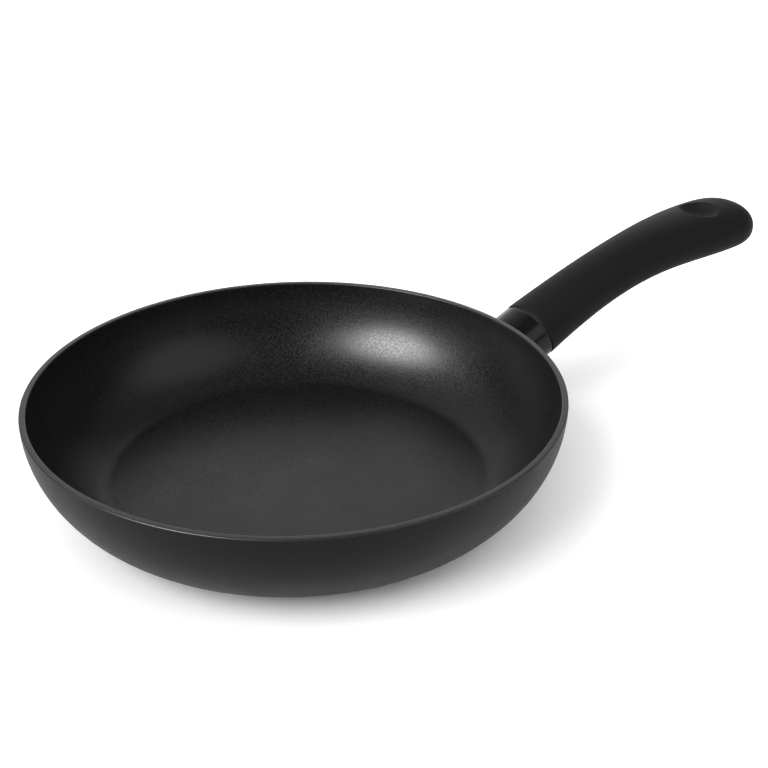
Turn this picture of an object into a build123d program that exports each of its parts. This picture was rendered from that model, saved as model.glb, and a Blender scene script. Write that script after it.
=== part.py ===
from build123d import *
import math
import os

# A round frying pan for omelettes, in millimetres.
# The origin is the centre of the underside, where the pan stands on the table.
# Z points up, X points from the centre of the pan along the handle, and Y is across it.

# Pan body: a dish turned about Z, whose wall is a quarter circle from the rim down to the base
pan_outer_radius = 120.0
pan_height = 51.0
wall_thickness = 2.95
floor_thickness = 6.8
floor_blend_radius = 15.0
rim_edge_radius = 0.6
base_lift = 0.2

# Steel disc pressed into the underside, with rings of holes that the aluminium fills
disc_radius = 62.0
disc_thickness = 0.7
disc_edge_gap = 0.15
disc_hole_radius = 2.1
disc_hole_margin = 12.0
disc_hole_rings = 5
disc_holes_in_first_ring = 6
stud_gap = 0.1
stud_setback = 0.15

# Handle line: it leaves the wall at a slope, then arches over and levels out
grip_reach = 20.5
grip_drop = 11.3
grip_run = 153.7
grip_rise = 27.3
start_slope_degrees = 22.6
end_slope_degrees = 3.5
start_pull = 81.3
end_pull = 52.4

# Grip: full heights and widths of its cross-section at even stations along the handle line
station_shares = (0.0, 0.25, 0.5, 0.75, 1.0)
front_height = 27.7
neck_height = 24.0
middle_height = 23.8
palm_height = 24.2
tail_height = 21.2
front_width = 33.0
neck_width = 31.4
middle_width = 36.8
palm_width = 44.2
tail_width = 40.0
grip_edge_radius = 0.5

# The oval sections are superellipses, and the end of the grip closes along one too
section_power = 2.15
end_power = 2.2
side_closing_share = 1.0
top_closing_share = 1.3

# Thumb dish in the top of the grip: curved tighter along the grip than across it
dish_setback = 36.0
dish_length = 20.0
dish_depth = 4.0
dish_cross_radius = 22.5
dish_lip_radius = 1.2

# Flame guard: an oval metal sleeve between the wall and the grip
guard_step = 0.25
guard_wall = 1.0
guard_wall_gap = 0.1
guard_edge_radius = 0.3

# Seal ring between the flame guard and the grip, and the spigot that carries both
seal_thickness = 0.8
seal_inset = 0.5
spigot_gap = 0.15
spigot_length = 4.0

# Lug: the bracket welded to the wall, which reaches into a socket in the grip
lug_width = 18.0
lug_height = 8.0
lug_corner_radius = 1.5
lug_reach = 34.0
lug_end_chamfer = 1.0
foot_width = 24.0
foot_height = 16.0
foot_corner_radius = 3.0
foot_length = 9.0
socket_gap = 0.15
socket_end_gap = 1.0

# Screw that comes from below, with its washers
screw_setback = 18.0
screw_radius = 2.5
screw_tip_gap = 0.6
thread_gap = 0.05
head_radius = 4.7
head_height = 3.0
head_edge_radius = 0.8
cross_width = 1.1
cross_length = 5.2
cross_depth = 1.8
flat_washer_radius = 5.2
flat_washer_thickness = 0.8
spring_washer_radius = 4.4
spring_washer_thickness = 1.1
spring_washer_slit = 0.8
spring_washer_slant = 25.0
washer_hole_gap = 0.2

# Screw pocket in the underside of the grip, and the plug that closes it
seat_wall = 2.2
shank_hole_gap = 0.25
pocket_radius = 5.6
plug_gap = 0.1
plug_wall = 0.5
plug_head_gap = 0.3
plug_skirt = 2.5

# Settings of the modelling, not sizes of the pan
section_points = 32
body_sections = 14
closing_sections = 7
closing_start_share = 0.84
length_steps = 60
cut_overrun = 10.0

# Values worked out from the ones above
wall_curve_radius = pan_height - base_lift
wall_centre_radius = pan_outer_radius - wall_curve_radius
inner_curve_radius = wall_curve_radius - wall_thickness
floor_z = base_lift + floor_thickness
disc_hole_pitch = (disc_radius - disc_hole_margin) / disc_hole_rings
grip_start = Vector(pan_outer_radius + grip_reach, 0, pan_height - grip_drop)
grip_end = grip_start + Vector(grip_run, 0, grip_rise)
start_slope = math.radians(start_slope_degrees)
end_slope = math.radians(end_slope_degrees)
handle_direction = Vector(math.cos(start_slope), 0, math.sin(start_slope))
handle_up = Vector(-math.sin(start_slope), 0, math.cos(start_slope))
tail_direction = Vector(math.cos(end_slope), 0, math.sin(end_slope))
station_heights = (front_height, neck_height, middle_height, palm_height, tail_height)
station_widths = (front_width, neck_width, middle_width, palm_width, tail_width)
guard_half_width = front_width / 2 - guard_step
guard_half_height = front_height / 2 - guard_step
spigot_inset = guard_wall + spigot_gap
seat_height = -(lug_height / 2 + socket_gap + seat_wall)
spring_washer_height = seat_height - flat_washer_thickness
head_top = spring_washer_height - spring_washer_thickness
head_bottom = head_top - head_height


def through_stations(values, share):
    """The smooth curve that passes through one value at each station, read at a share of the way."""
    total = 0.0
    for index, value in enumerate(values):
        weight = 1.0
        for other, place in enumerate(station_shares):
            if other != index:
                weight *= (share - place) / (station_shares[index] - place)
        total += weight * value
    return total


def handle_curve(share):
    """The point and the direction of the handle line at a share of the way: a cubic Bezier curve."""
    first = grip_start + handle_direction * start_pull
    last = grip_end - tail_direction * end_pull
    rest = 1 - share
    start_part = grip_start * rest**3 + first * (3 * rest**2 * share)
    end_part = last * (3 * rest * share**2) + grip_end * share**3
    start_slope_part = (first - grip_start) * rest**2
    end_slope_part = (last - first) * (2 * rest * share) + (grip_end - last) * share**2
    return start_part + end_part, (start_slope_part + end_slope_part).normalized()


def distance_to_tail(share):
    """The length of the handle line from a share of the way to its tail."""
    length = 0.0
    before = handle_curve(share)[0]
    for step in range(1, length_steps + 1):
        point = handle_curve(share + (1 - share) * step / length_steps)[0]
        length += (point - before).length
        before = point
    return length


def closing_factor(distance, closing_length):
    """How much of the section is left near the tail: all of it, then a quarter superellipse to nothing."""
    gone = 1 - min(1.0, distance / closing_length)
    return (1 - gone**end_power) ** (1 / end_power)


def signed_power(value, power):
    """A power that keeps the sign of its base."""
    return math.copysign(abs(value) ** power, value)


def oval_face(plane, half_width, half_height):
    """A closed superellipse in a plane, with its width along the plane's X and its height along its Y."""
    points = []
    for index in range(section_points):
        angle = 2 * math.pi * index / section_points
        across = half_width * signed_power(math.cos(angle), 2 / section_power)
        upward = half_height * signed_power(math.sin(angle), 2 / section_power)
        points.append(plane.from_local_coords(Vector(across, upward, 0)))
    edge = Edge.make_spline(points, periodic=True, parameters=list(range(section_points + 1)))
    return Face(Wire([edge]))


def along_handle(distance, height=0.0):
    """A point past the front of the grip, along the straight line on which the handle starts."""
    return grip_start + handle_direction * distance + handle_up * height


def handle_plane(distance):
    """A plane across the start of the handle line, facing along it, with its X across the pan."""
    return Plane(origin=along_handle(distance), x_dir=(0, 1, 0), z_dir=handle_direction)


def oval_prism(start, end, half_width, half_height):
    """A straight oval bar between two distances past the front of the grip."""
    section = oval_face(handle_plane(start), half_width, half_height)
    return extrude(section, end - start, dir=handle_direction)


def rounded_bar(start, end, width, height, corner_radius):
    """A straight bar of rounded rectangular section between two distances past the front of the grip."""
    return extrude(handle_plane(start) * RectangleRounded(width, height, corner_radius), end - start)


def screw_plane(height):
    """A plane across the screw's axis, facing up it, at a height above the handle's axis."""
    return Plane(origin=along_handle(screw_setback, height), x_dir=handle_direction, z_dir=handle_up)


def screw_cylinder(radius, low, high):
    """A cylinder on the screw's axis between two heights above the handle's axis."""
    return extrude(screw_plane(low) * Circle(radius), high - low)


def pan_envelope(gap=0.0):
    """Everything inside the pan's outer surface up to the rim, grown outwards by a gap."""
    radius = wall_curve_radius + gap
    base_z = pan_height - radius
    arc = CenterArc((wall_centre_radius, pan_height), radius, -90, 90)
    top = Polyline((wall_centre_radius + radius, pan_height), (0, pan_height), (0, base_z))
    bottom = Line((0, base_z), (wall_centre_radius, base_z))
    return revolve(Plane.XZ * make_face([arc, top, bottom]), Axis.Z)


def pan_section():
    """Half of the dish's section: outer arc, flat rim, inner arc and flat floor, with rounded corners."""
    centre = (wall_centre_radius, pan_height)
    inner_angle = math.degrees(math.asin((pan_height - floor_z) / inner_curve_radius))
    inner_rim = (wall_centre_radius + inner_curve_radius, pan_height)
    floor_edge = wall_centre_radius + inner_curve_radius * math.cos(math.radians(inner_angle))
    outer = CenterArc(centre, wall_curve_radius, -90, 90)
    rim = Line((pan_outer_radius, pan_height), inner_rim)
    inner = CenterArc(centre, inner_curve_radius, -inner_angle, inner_angle)
    rest = Polyline((floor_edge, floor_z), (0, floor_z), (0, base_lift), (wall_centre_radius, base_lift))
    section = make_face([outer, rim, inner, rest])
    section = fillet(section.vertices().group_by(Axis.Y)[-1], rim_edge_radius)
    floor_corner = section.vertices().sort_by_distance((floor_edge, floor_z))[0]
    return fillet(floor_corner, floor_blend_radius)


def disc_holes():
    """The centres of the disc's small holes: rings about Z, each with more holes than the last."""
    places = []
    for ring in range(1, disc_hole_rings + 1):
        places.extend(PolarLocations(disc_hole_pitch * ring, disc_holes_in_first_ring * ring))
    return places


def make_pan_body():
    """The dish, with a shallow recess under it for the steel disc and studs that fill its holes."""
    body = revolve(Plane.XZ * pan_section(), Axis.Z)
    body -= extrude(Circle(disc_radius + disc_edge_gap), disc_thickness)
    studs = [place * Circle(disc_hole_radius - stud_gap) for place in disc_holes()]
    return body + extrude(Pos(0, 0, stud_setback) * Sketch(children=studs), disc_thickness - stud_setback)


def make_base_disc():
    """The perforated disc that the pan stands on."""
    holes = [place * Circle(disc_hole_radius) for place in disc_holes()]
    return extrude(Circle(disc_radius) - holes, disc_thickness)


def make_handle_lug():
    """The welded bracket: a broad foot on the wall, a bar into the grip and a hole for the screw."""
    bar = rounded_bar(-grip_reach - cut_overrun, lug_reach, lug_width, lug_height, lug_corner_radius)
    bar = chamfer(bar.faces().sort_by(Axis.X)[-1].edges(), lug_end_chamfer)
    foot_end = foot_length - grip_reach / math.cos(start_slope)
    foot = rounded_bar(-grip_reach - cut_overrun, foot_end, foot_width, foot_height, foot_corner_radius)
    lug = bar + foot - pan_envelope()
    return lug - screw_cylinder(screw_radius + thread_gap, -lug_height, lug_height)


def make_flame_guard():
    """The oval sleeve: its inner end follows the wall, and its outer end stops at the seal."""
    start = -grip_reach - 2 * cut_overrun
    outer = oval_prism(start, -seal_thickness, guard_half_width, guard_half_height)
    outer = fillet(outer.faces().sort_by(Axis.X)[-1].edges(), guard_edge_radius)
    inner = oval_prism(start, 0, guard_half_width - guard_wall, guard_half_height - guard_wall)
    return outer - inner - pan_envelope(guard_wall_gap)


def make_guard_seal():
    """The ring between the sleeve's end and the grip's shoulder, set back a little from both."""
    outer = oval_prism(-seal_thickness, 0, guard_half_width - seal_inset, guard_half_height - seal_inset)
    inner = oval_prism(-seal_thickness, 0, guard_half_width - guard_wall, guard_half_height - guard_wall)
    return outer - inner


def section_shares():
    """Where the grip's sections stand: evenly along the body, then closer and closer towards the tail."""
    shares = [closing_start_share * index / body_sections for index in range(body_sections)]
    for index in range(closing_sections):
        angle = math.pi / 2 * index / closing_sections
        shares.append(closing_start_share + (1 - closing_start_share) * math.sin(angle))
    return shares


def make_grip_body():
    """The outer shape of the grip: oval sections along the handle line, closing to a point at the tail."""
    sections = []
    for share in section_shares():
        point, direction = handle_curve(share)
        distance = distance_to_tail(share)
        half_width = through_stations(station_widths, share) / 2
        half_height = through_stations(station_heights, share) / 2
        half_width *= closing_factor(distance, half_width * side_closing_share)
        half_height *= closing_factor(distance, half_height * top_closing_share)
        plane = Plane(origin=point, x_dir=(0, 1, 0), z_dir=direction)
        sections.append(oval_face(plane, half_width, half_height))
    return loft(sections + [Vertex(grip_end)])


def screw_pocket(radius, top):
    """A cylinder on the screw's axis from well below the grip up to a height above the handle's axis."""
    return screw_cylinder(radius, -front_height, top)


def dish_plane():
    """The plane that lies on the uncut top of the grip in the middle of the thumb dish."""
    share = 1 - dish_setback / grip_run
    point, direction = handle_curve(share)
    upward = direction.cross(Vector(0, 1, 0))
    top = point + upward * (through_stations(station_heights, share) / 2)
    return Plane(origin=top, x_dir=direction, z_dir=upward)


def dish_ring():
    """A ring about X whose outside has the dish's two curves: a tight one along X and a wide one about X."""
    half_length = dish_length / 2
    along_radius = (half_length**2 + dish_depth**2) / (2 * dish_depth)
    height = dish_cross_radius - along_radius
    arc = CenterArc((0, height), along_radius, 0, 180)
    chord = Line((-along_radius, height), (along_radius, height))
    return revolve(Plane.XZ * make_face([arc, chord]), Axis.X)


def sink_dish(grip):
    """Sinks the ring into the top of the grip, which leaves an oval dish, and rounds the dish's lip."""
    ring_centre = Pos(0, 0, dish_cross_radius - dish_depth)
    hollowed = grip - dish_plane() * ring_centre * dish_ring()
    lip = (hollowed.edges() - grip.edges()).sort_by(SortBy.LENGTH)[-1]
    return fillet(lip, dish_lip_radius)


def make_grip():
    """The grip: a spigot in front, a socket for the lug, a screw pocket below and a thumb dish on top."""
    grip = make_grip_body()
    grip = fillet(grip.faces().sort_by(Axis.X)[0].edges(), grip_edge_radius)
    grip = sink_dish(grip)
    spigot_width = guard_half_width - spigot_inset
    spigot_height = guard_half_height - spigot_inset
    grip += oval_prism(-seal_thickness - spigot_length, 0, spigot_width, spigot_height)
    socket_width = lug_width + 2 * socket_gap
    socket_height = lug_height + 2 * socket_gap
    socket_start = -seal_thickness - spigot_length - cut_overrun
    socket_end = lug_reach + socket_end_gap
    grip -= rounded_bar(socket_start, socket_end, socket_width, socket_height, lug_corner_radius)
    grip -= screw_cylinder(screw_radius + shank_hole_gap, seat_height, 0)
    return grip - screw_pocket(pocket_radius, seat_height)


def make_grip_screw():
    """The screw: a round head with a cross recess below, and a shank up into the lug."""
    head = screw_cylinder(head_radius, head_bottom, head_top)
    head = fillet(head.faces().sort_by(Axis.Z)[0].edges(), head_edge_radius)
    slot = Rectangle(cross_length, cross_width) + Rectangle(cross_width, cross_length)
    head -= extrude(screw_plane(head_bottom) * slot, cross_depth)
    return head + screw_cylinder(screw_radius, head_top, lug_height / 2 - screw_tip_gap)


def washer_ring(radius, low, high):
    """A flat ring round the screw's shank."""
    return screw_cylinder(radius, low, high) - screw_cylinder(screw_radius + washer_hole_gap, low, high)


def make_flat_washer():
    """The plain washer on the seat in the pocket."""
    return washer_ring(flat_washer_radius, spring_washer_height, seat_height)


def make_spring_washer():
    """The split washer between the plain one and the head, with its slit cut at a slant."""
    ring = washer_ring(spring_washer_radius, head_top, spring_washer_height)
    middle = (head_top + spring_washer_height) / 2
    slit = Box(2 * spring_washer_radius, spring_washer_slit, 2 * spring_washer_radius)
    slit = screw_plane(middle) * Pos(spring_washer_radius, 0, 0) * Rot(spring_washer_slant, 0, 0) * slit
    return ring - slit


def make_screw_plug():
    """The plug: a cap that continues the grip's underside, with a thin skirt round the screw's head."""
    radius = pocket_radius - plug_gap
    cap_top = head_bottom - plug_head_gap
    cap = make_grip_body() & screw_pocket(radius, cap_top)
    skirt = screw_cylinder(radius, cap_top, cap_top + plug_skirt)
    skirt -= screw_cylinder(radius - plug_wall, cap_top, cap_top + plug_skirt)
    return cap + skirt


pieces = {
    "pan_body": make_pan_body,
    "base_disc": make_base_disc,
    "handle_lug": make_handle_lug,
    "flame_guard": make_flame_guard,
    "guard_seal": make_guard_seal,
    "grip": make_grip,
    "grip_screw": make_grip_screw,
    "flat_washer": make_flat_washer,
    "spring_washer": make_spring_washer,
    "screw_plug": make_screw_plug,
}

os.makedirs("parts", exist_ok=True)
for name, make_piece in pieces.items():
    export_step(make_piece(), f"parts/{name}.step")
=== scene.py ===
"""The finished look of a round omelette pan with an arched grip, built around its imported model.

Lengths are in metres and angles in degrees, unless a name says otherwise. The frame is the model's own:
Z points up, X runs from the centre of the pan along the handle, and the pan stands on the floor at Z = 0.
"""
import functools
import logging
import math
from dataclasses import dataclass
from enum import Enum

import bpy
import numpy as np
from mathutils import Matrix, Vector


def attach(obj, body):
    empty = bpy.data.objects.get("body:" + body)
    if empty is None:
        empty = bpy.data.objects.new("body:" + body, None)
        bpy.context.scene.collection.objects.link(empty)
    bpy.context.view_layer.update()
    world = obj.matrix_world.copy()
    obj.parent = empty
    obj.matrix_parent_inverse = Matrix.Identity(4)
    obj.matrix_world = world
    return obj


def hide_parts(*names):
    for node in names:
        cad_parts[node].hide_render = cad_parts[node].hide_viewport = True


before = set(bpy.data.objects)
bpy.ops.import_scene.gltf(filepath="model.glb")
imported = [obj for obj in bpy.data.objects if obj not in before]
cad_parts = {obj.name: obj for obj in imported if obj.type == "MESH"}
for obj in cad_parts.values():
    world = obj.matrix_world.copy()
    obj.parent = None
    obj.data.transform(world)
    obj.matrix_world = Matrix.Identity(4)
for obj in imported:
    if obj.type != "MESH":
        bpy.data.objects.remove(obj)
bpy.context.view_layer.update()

logging.basicConfig(level=logging.INFO, format="%(message)s")
log = logging.getLogger("pan")

Socket = bpy.types.NodeSocket
Colour = tuple[float, float, float]
Pair = tuple[float, float]
Source = Socket | float | Colour

BODY = "root"
EDGE_ATTRIBUTE = "edge"
MILLIMETRE = 0.001


# Surfaces


def arc(centre: Pair, radius: float, start: float, end: float, steps: int) -> np.ndarray:
    """An arc in a plane: the centre plus radius times the cosine and sine of evenly spaced degrees."""
    angles = np.radians(np.linspace(start, end, steps + 1))
    return np.stack([centre[0] + radius * np.cos(angles), centre[1] + radius * np.sin(angles)], axis=1)


def straight(first: Pair, last: Pair, steps: int) -> np.ndarray:
    """The ends of even steps along a straight line: each end of it times what is left of the way."""
    shares = np.linspace(0.0, 1.0, steps + 1)[:, None]
    return np.array(first) * (1.0 - shares) + np.array(last) * shares


def superellipse(angles: np.ndarray, power: float) -> tuple[np.ndarray, np.ndarray]:
    """The unit superellipse: the cosine and the sine, each to the power of 2 / power with its sign kept.

    Args:
        angles: The angles, in radians.
        power: 2 gives a circle, and a higher power fuller corners.

    Returns:
        The places across and upwards, from -1 to 1.
    """
    cosine = np.cos(angles)
    sine = np.sin(angles)
    share = 2.0 / power
    return np.sign(cosine) * np.abs(cosine) ** share, np.sign(sine) * np.abs(sine) ** share


def around(count: int) -> np.ndarray:
    """Evenly spaced angles once round, in radians, without the one that would repeat the first."""
    return np.linspace(0.0, 2.0 * math.pi, count, endpoint=False)


def turned(outline: np.ndarray, columns: int) -> np.ndarray:
    """A profile turned about Z: each point goes to its radius times the cosine and sine of every angle.

    Args:
        outline: Rows of radius and height.
        columns: How many angles there are.

    Returns:
        An array of rows by columns by three.
    """
    angles = around(columns)
    radius = outline[:, :1]
    height = np.repeat(outline[:, 1:], columns, axis=1)
    return np.stack([radius * np.cos(angles), radius * np.sin(angles), height], axis=-1)


def smooth_minimum(first: np.ndarray, second: np.ndarray, width: float) -> np.ndarray:
    """The lower of two heights, less width / 4 times the square of their nearness as a share of width."""
    nearness = np.maximum(width - np.abs(first - second), 0.0) / width
    return np.minimum(first, second) - nearness**2 * width / 4.0


def ring_quads(rows: int, columns: int, closed: bool) -> np.ndarray:
    """The corner numbers of the quads of a grid whose columns run all the way round.

    Args:
        rows: The number of rows.
        columns: The number of columns.
        closed: Whether the last row joins the first one too.

    Returns:
        An array with four corner numbers for each quad, row after row.
    """
    numbers = np.arange(rows * columns).reshape(rows, columns)
    here = numbers if closed else numbers[:-1]
    above = np.roll(numbers, -1, axis=0) if closed else numbers[1:]
    quads = np.stack([here, np.roll(here, -1, axis=1), np.roll(above, -1, axis=1), above], axis=-1)
    return quads.reshape(-1, 4)


def enclosed_volume(points: np.ndarray, quads: np.ndarray, triangles: np.ndarray) -> float:
    """Six times the volume inside a closed mesh: the sum of its triangles' triple products.

    Args:
        points: The corners.
        quads: The corner numbers of its quads.
        triangles: The corner numbers of its triangles.

    Returns:
        A positive number if the faces point outwards.
    """
    every = np.concatenate([quads[:, [0, 1, 2]], quads[:, [0, 2, 3]], triangles])
    first, second, third = points[every[:, 0]], points[every[:, 1]], points[every[:, 2]]
    return float(np.einsum("ij,ij->i", first, np.cross(second, third)).sum())


@dataclass
class GridSurface:
    """A closed surface of rows that each run all the way round."""

    rows: np.ndarray  # rows by columns by three
    closed: bool = False  # whether the last row joins the first; otherwise a pole closes each end
    edge: np.ndarray | None = None  # how much each row lies on a worn edge, from 0 to 1
    zones: np.ndarray | None = None  # the number of each face row's material

    def faces(self) -> tuple[np.ndarray, np.ndarray, np.ndarray, np.ndarray]:
        """The corners, quads and pole triangles, turned so that they face outwards, and each face's zone.

        Returns:
            The points, the quads, the triangles and the zones of both.
        """
        count, columns, _ = self.rows.shape
        points = self.rows.reshape(-1, 3)
        quads = ring_quads(count, columns, self.closed)
        zones = np.zeros(count, int) if self.zones is None else self.zones
        quad_zones = np.repeat(zones[: count if self.closed else count - 1], columns)
        triangles = np.zeros((0, 3), int)
        if not self.closed:
            first_pole, last_pole = len(points), len(points) + 1
            points = np.concatenate([points, [self.rows[0].mean(axis=0), self.rows[-1].mean(axis=0)]])
            ring = np.arange(columns)
            following = np.roll(ring, -1)
            last = ring + (count - 1) * columns
            bottom = np.stack([following, ring, np.full(columns, first_pole)], axis=1)
            top = np.stack([last, np.roll(last, -1), np.full(columns, last_pole)], axis=1)
            triangles = np.concatenate([bottom, top])
        triangle_zones = np.repeat(zones[[0, -1]], len(triangles) // 2)
        if enclosed_volume(points, quads, triangles) < 0:
            quads, triangles = quads[:, ::-1], triangles[:, ::-1]
        return points, quads, triangles, np.concatenate([quad_zones, triangle_zones])

    def build(self, name: str) -> bpy.types.Object:
        """Makes the surface into a smooth shaded object at the origin.

        Args:
            name: The object's name.

        Returns:
            The object, linked to the scene.
        """
        points, quads, triangles, zones = self.faces()
        piece = solid_of(name, points, quads, triangles)
        piece.data.polygons.foreach_set("material_index", zones.astype(np.int32))
        if self.edge is not None:
            values = np.repeat(self.edge, self.rows.shape[1])
            values = np.concatenate([values, np.zeros(len(points) - len(values))])
            attribute = piece.data.attributes.new(EDGE_ATTRIBUTE, "FLOAT", "POINT")
            attribute.data.foreach_set("value", values.astype(np.float32))
        return piece


def placed(name: str, data: bpy.types.ID) -> bpy.types.Object:
    """Makes an object for a mesh, a lamp or a camera.

    Args:
        name: The object's name.
        data: What it shows.

    Returns:
        The object, linked to the scene.
    """
    holder = bpy.data.objects.new(name, data)
    bpy.context.scene.collection.objects.link(holder)
    return holder


def solid_of(name: str, points: np.ndarray, quads: np.ndarray, triangles: np.ndarray) -> bpy.types.Object:
    """Puts arrays of corners and faces into a new smooth shaded object.

    Args:
        name: The object's name.
        points: The corners.
        quads: Four corner numbers for each quad.
        triangles: Three corner numbers for each triangle.

    Returns:
        The object, linked to the scene.
    """
    mesh = bpy.data.meshes.new(name)
    mesh.vertices.add(len(points))
    mesh.vertices.foreach_set("co", points.astype(np.float32).ravel())
    mesh.loops.add(quads.size + triangles.size)
    corners = np.concatenate([quads.ravel(), triangles.ravel()])
    mesh.loops.foreach_set("vertex_index", corners.astype(np.int32))
    sizes = np.concatenate([np.full(len(quads), 4), np.full(len(triangles), 3)])
    mesh.polygons.add(len(sizes))
    mesh.polygons.foreach_set("loop_start", (np.cumsum(sizes) - sizes).astype(np.int32))
    mesh.polygons.foreach_set("use_smooth", np.ones(len(sizes), bool))
    mesh.update(calc_edges=True)
    mesh.validate()
    return placed(name, mesh)


def cut_away(piece: bpy.types.Object, cutters: list[bpy.types.Object]) -> None:
    """Cuts closed shapes out of a piece for good, and removes them.

    Args:
        piece: The object that is cut.
        cutters: The shapes that are taken away.
    """
    for cutter in cutters:
        modifier = piece.modifiers.new("cut", "BOOLEAN")
        modifier.operation = "DIFFERENCE"
        modifier.solver = "EXACT"
        modifier.object = cutter
        evaluated = piece.evaluated_get(bpy.context.evaluated_depsgraph_get())
        mesh = bpy.data.meshes.new_from_object(evaluated)
        piece.modifiers.remove(modifier)
        old = piece.data
        piece.data = mesh
        bpy.data.meshes.remove(old)
        mesh.name = piece.name
        bpy.data.objects.remove(cutter)


# Node groups and materials


class Tree:
    """Adds nodes to a node tree and links them, so that a finish reads as a few plain lines."""

    def __init__(self, tree: bpy.types.NodeTree) -> None:
        """Takes the material's, world's or group's tree that the nodes go into."""
        self.tree = tree

    def add(
        self, kind: str, sources: dict[str | int, Source] | None = None, **settings: object
    ) -> bpy.types.Node:
        """Adds a node.

        Args:
            kind: The node's type name.
            sources: What goes into its inputs, by their names or numbers.
            settings: Properties of the node, set before its inputs.

        Returns:
            The node.
        """
        node = self.tree.nodes.new(kind)
        for key, value in settings.items():
            setattr(node, key, value)
        for key, source in (sources or {}).items():
            self.feed(node.inputs[key], source)
        return node

    def feed(self, socket: Socket, source: Source) -> None:
        """Links a socket to another one, or sets it to a plain value.

        Args:
            socket: The input socket.
            source: An output socket, a number or a colour.
        """
        if isinstance(source, bpy.types.NodeSocket):
            self.tree.links.new(source, socket)
        elif isinstance(source, tuple) and socket.type == "RGBA":
            socket.default_value = (*source, 1.0)
        else:
            socket.default_value = source

    def math(self, operation: str, first: Source, second: Source = 0.0) -> Socket:
        """One step of arithmetic."""
        return self.add("ShaderNodeMath", {0: first, 1: second}, operation=operation).outputs[0]

    def vector(self, operation: str, first: Socket, second: Source) -> bpy.types.Node:
        """One step of vector arithmetic, as a node, because its result is in one of two outputs."""
        return self.add("ShaderNodeVectorMath", {0: first, 1: second}, operation=operation)

    def spread(
        self, value: Socket, low: float, high: float, to_low: float = 0.0, to_high: float = 1.0
    ) -> Socket:
        """Maps a range of values to another one with a smooth step, and keeps to its ends beyond it."""
        sources = dict(enumerate((value, low, high, to_low, to_high)))
        return self.add("ShaderNodeMapRange", sources, interpolation_type="SMOOTHSTEP").outputs[0]

    def blend(self, share: Socket, first: Source, second: Source) -> Socket:
        """Mixes two colours.

        Args:
            share: How much of the second one shows.
            first: The first colour.
            second: The second colour.

        Returns:
            The mixed colour's socket.
        """
        node = self.add("ShaderNodeMix", {0: share}, data_type="RGBA")
        colour_inputs = [socket for socket in node.inputs if socket.type == "RGBA"]
        self.feed(colour_inputs[0], first)
        self.feed(colour_inputs[1], second)
        return next(socket for socket in node.outputs if socket.type == "RGBA")

    def noise(self, vector: Socket, scale: Source, detail: float, roughness: float = 0.5) -> Socket:
        """Soft noise around 0.5, with scale swells in a metre and detail finer layers."""
        sources = {"Vector": vector, "Scale": scale, "Detail": detail, "Roughness": roughness}
        return self.add("ShaderNodeTexNoise", sources).outputs["Fac"]

    def group(self, tree: bpy.types.NodeTree, **inputs: Source) -> bpy.types.Node:
        """Places a shared effect; low lines in the names of its inputs stand for blanks."""
        sources = {key.replace("_", " "): source for key, source in inputs.items()}
        return self.add("ShaderNodeGroup", sources, node_tree=tree)


def fresh_tree(owner: bpy.types.Material | bpy.types.World) -> Tree:
    """Turns the nodes of a material or world on, and empties them.

    Args:
        owner: The material or world.

    Returns:
        Its empty tree.
    """
    owner.use_nodes = True
    owner.node_tree.nodes.clear()
    return Tree(owner.node_tree)


def new_effect(name: str, inputs: list[str], outputs: list[str]) -> tuple[Tree, Socket, Socket]:
    """Starts a node group for an effect that several finishes share.

    Args:
        name: The effect's name.
        inputs: The names of the numbers that go in, besides the place.
        outputs: The names of the numbers that come out.

    Returns:
        The group's tree, its input node's outputs and its output node's inputs.
    """
    group = bpy.data.node_groups.new(name, "ShaderNodeTree")
    group.interface.new_socket(name="Vector", in_out="INPUT", socket_type="NodeSocketVector")
    for way, sockets in (("INPUT", inputs), ("OUTPUT", outputs)):
        for socket in sockets:
            group.interface.new_socket(name=socket, in_out=way, socket_type="NodeSocketFloat")
    tree = Tree(group)
    return tree, tree.add("NodeGroupInput").outputs, tree.add("NodeGroupOutput").inputs


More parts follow.
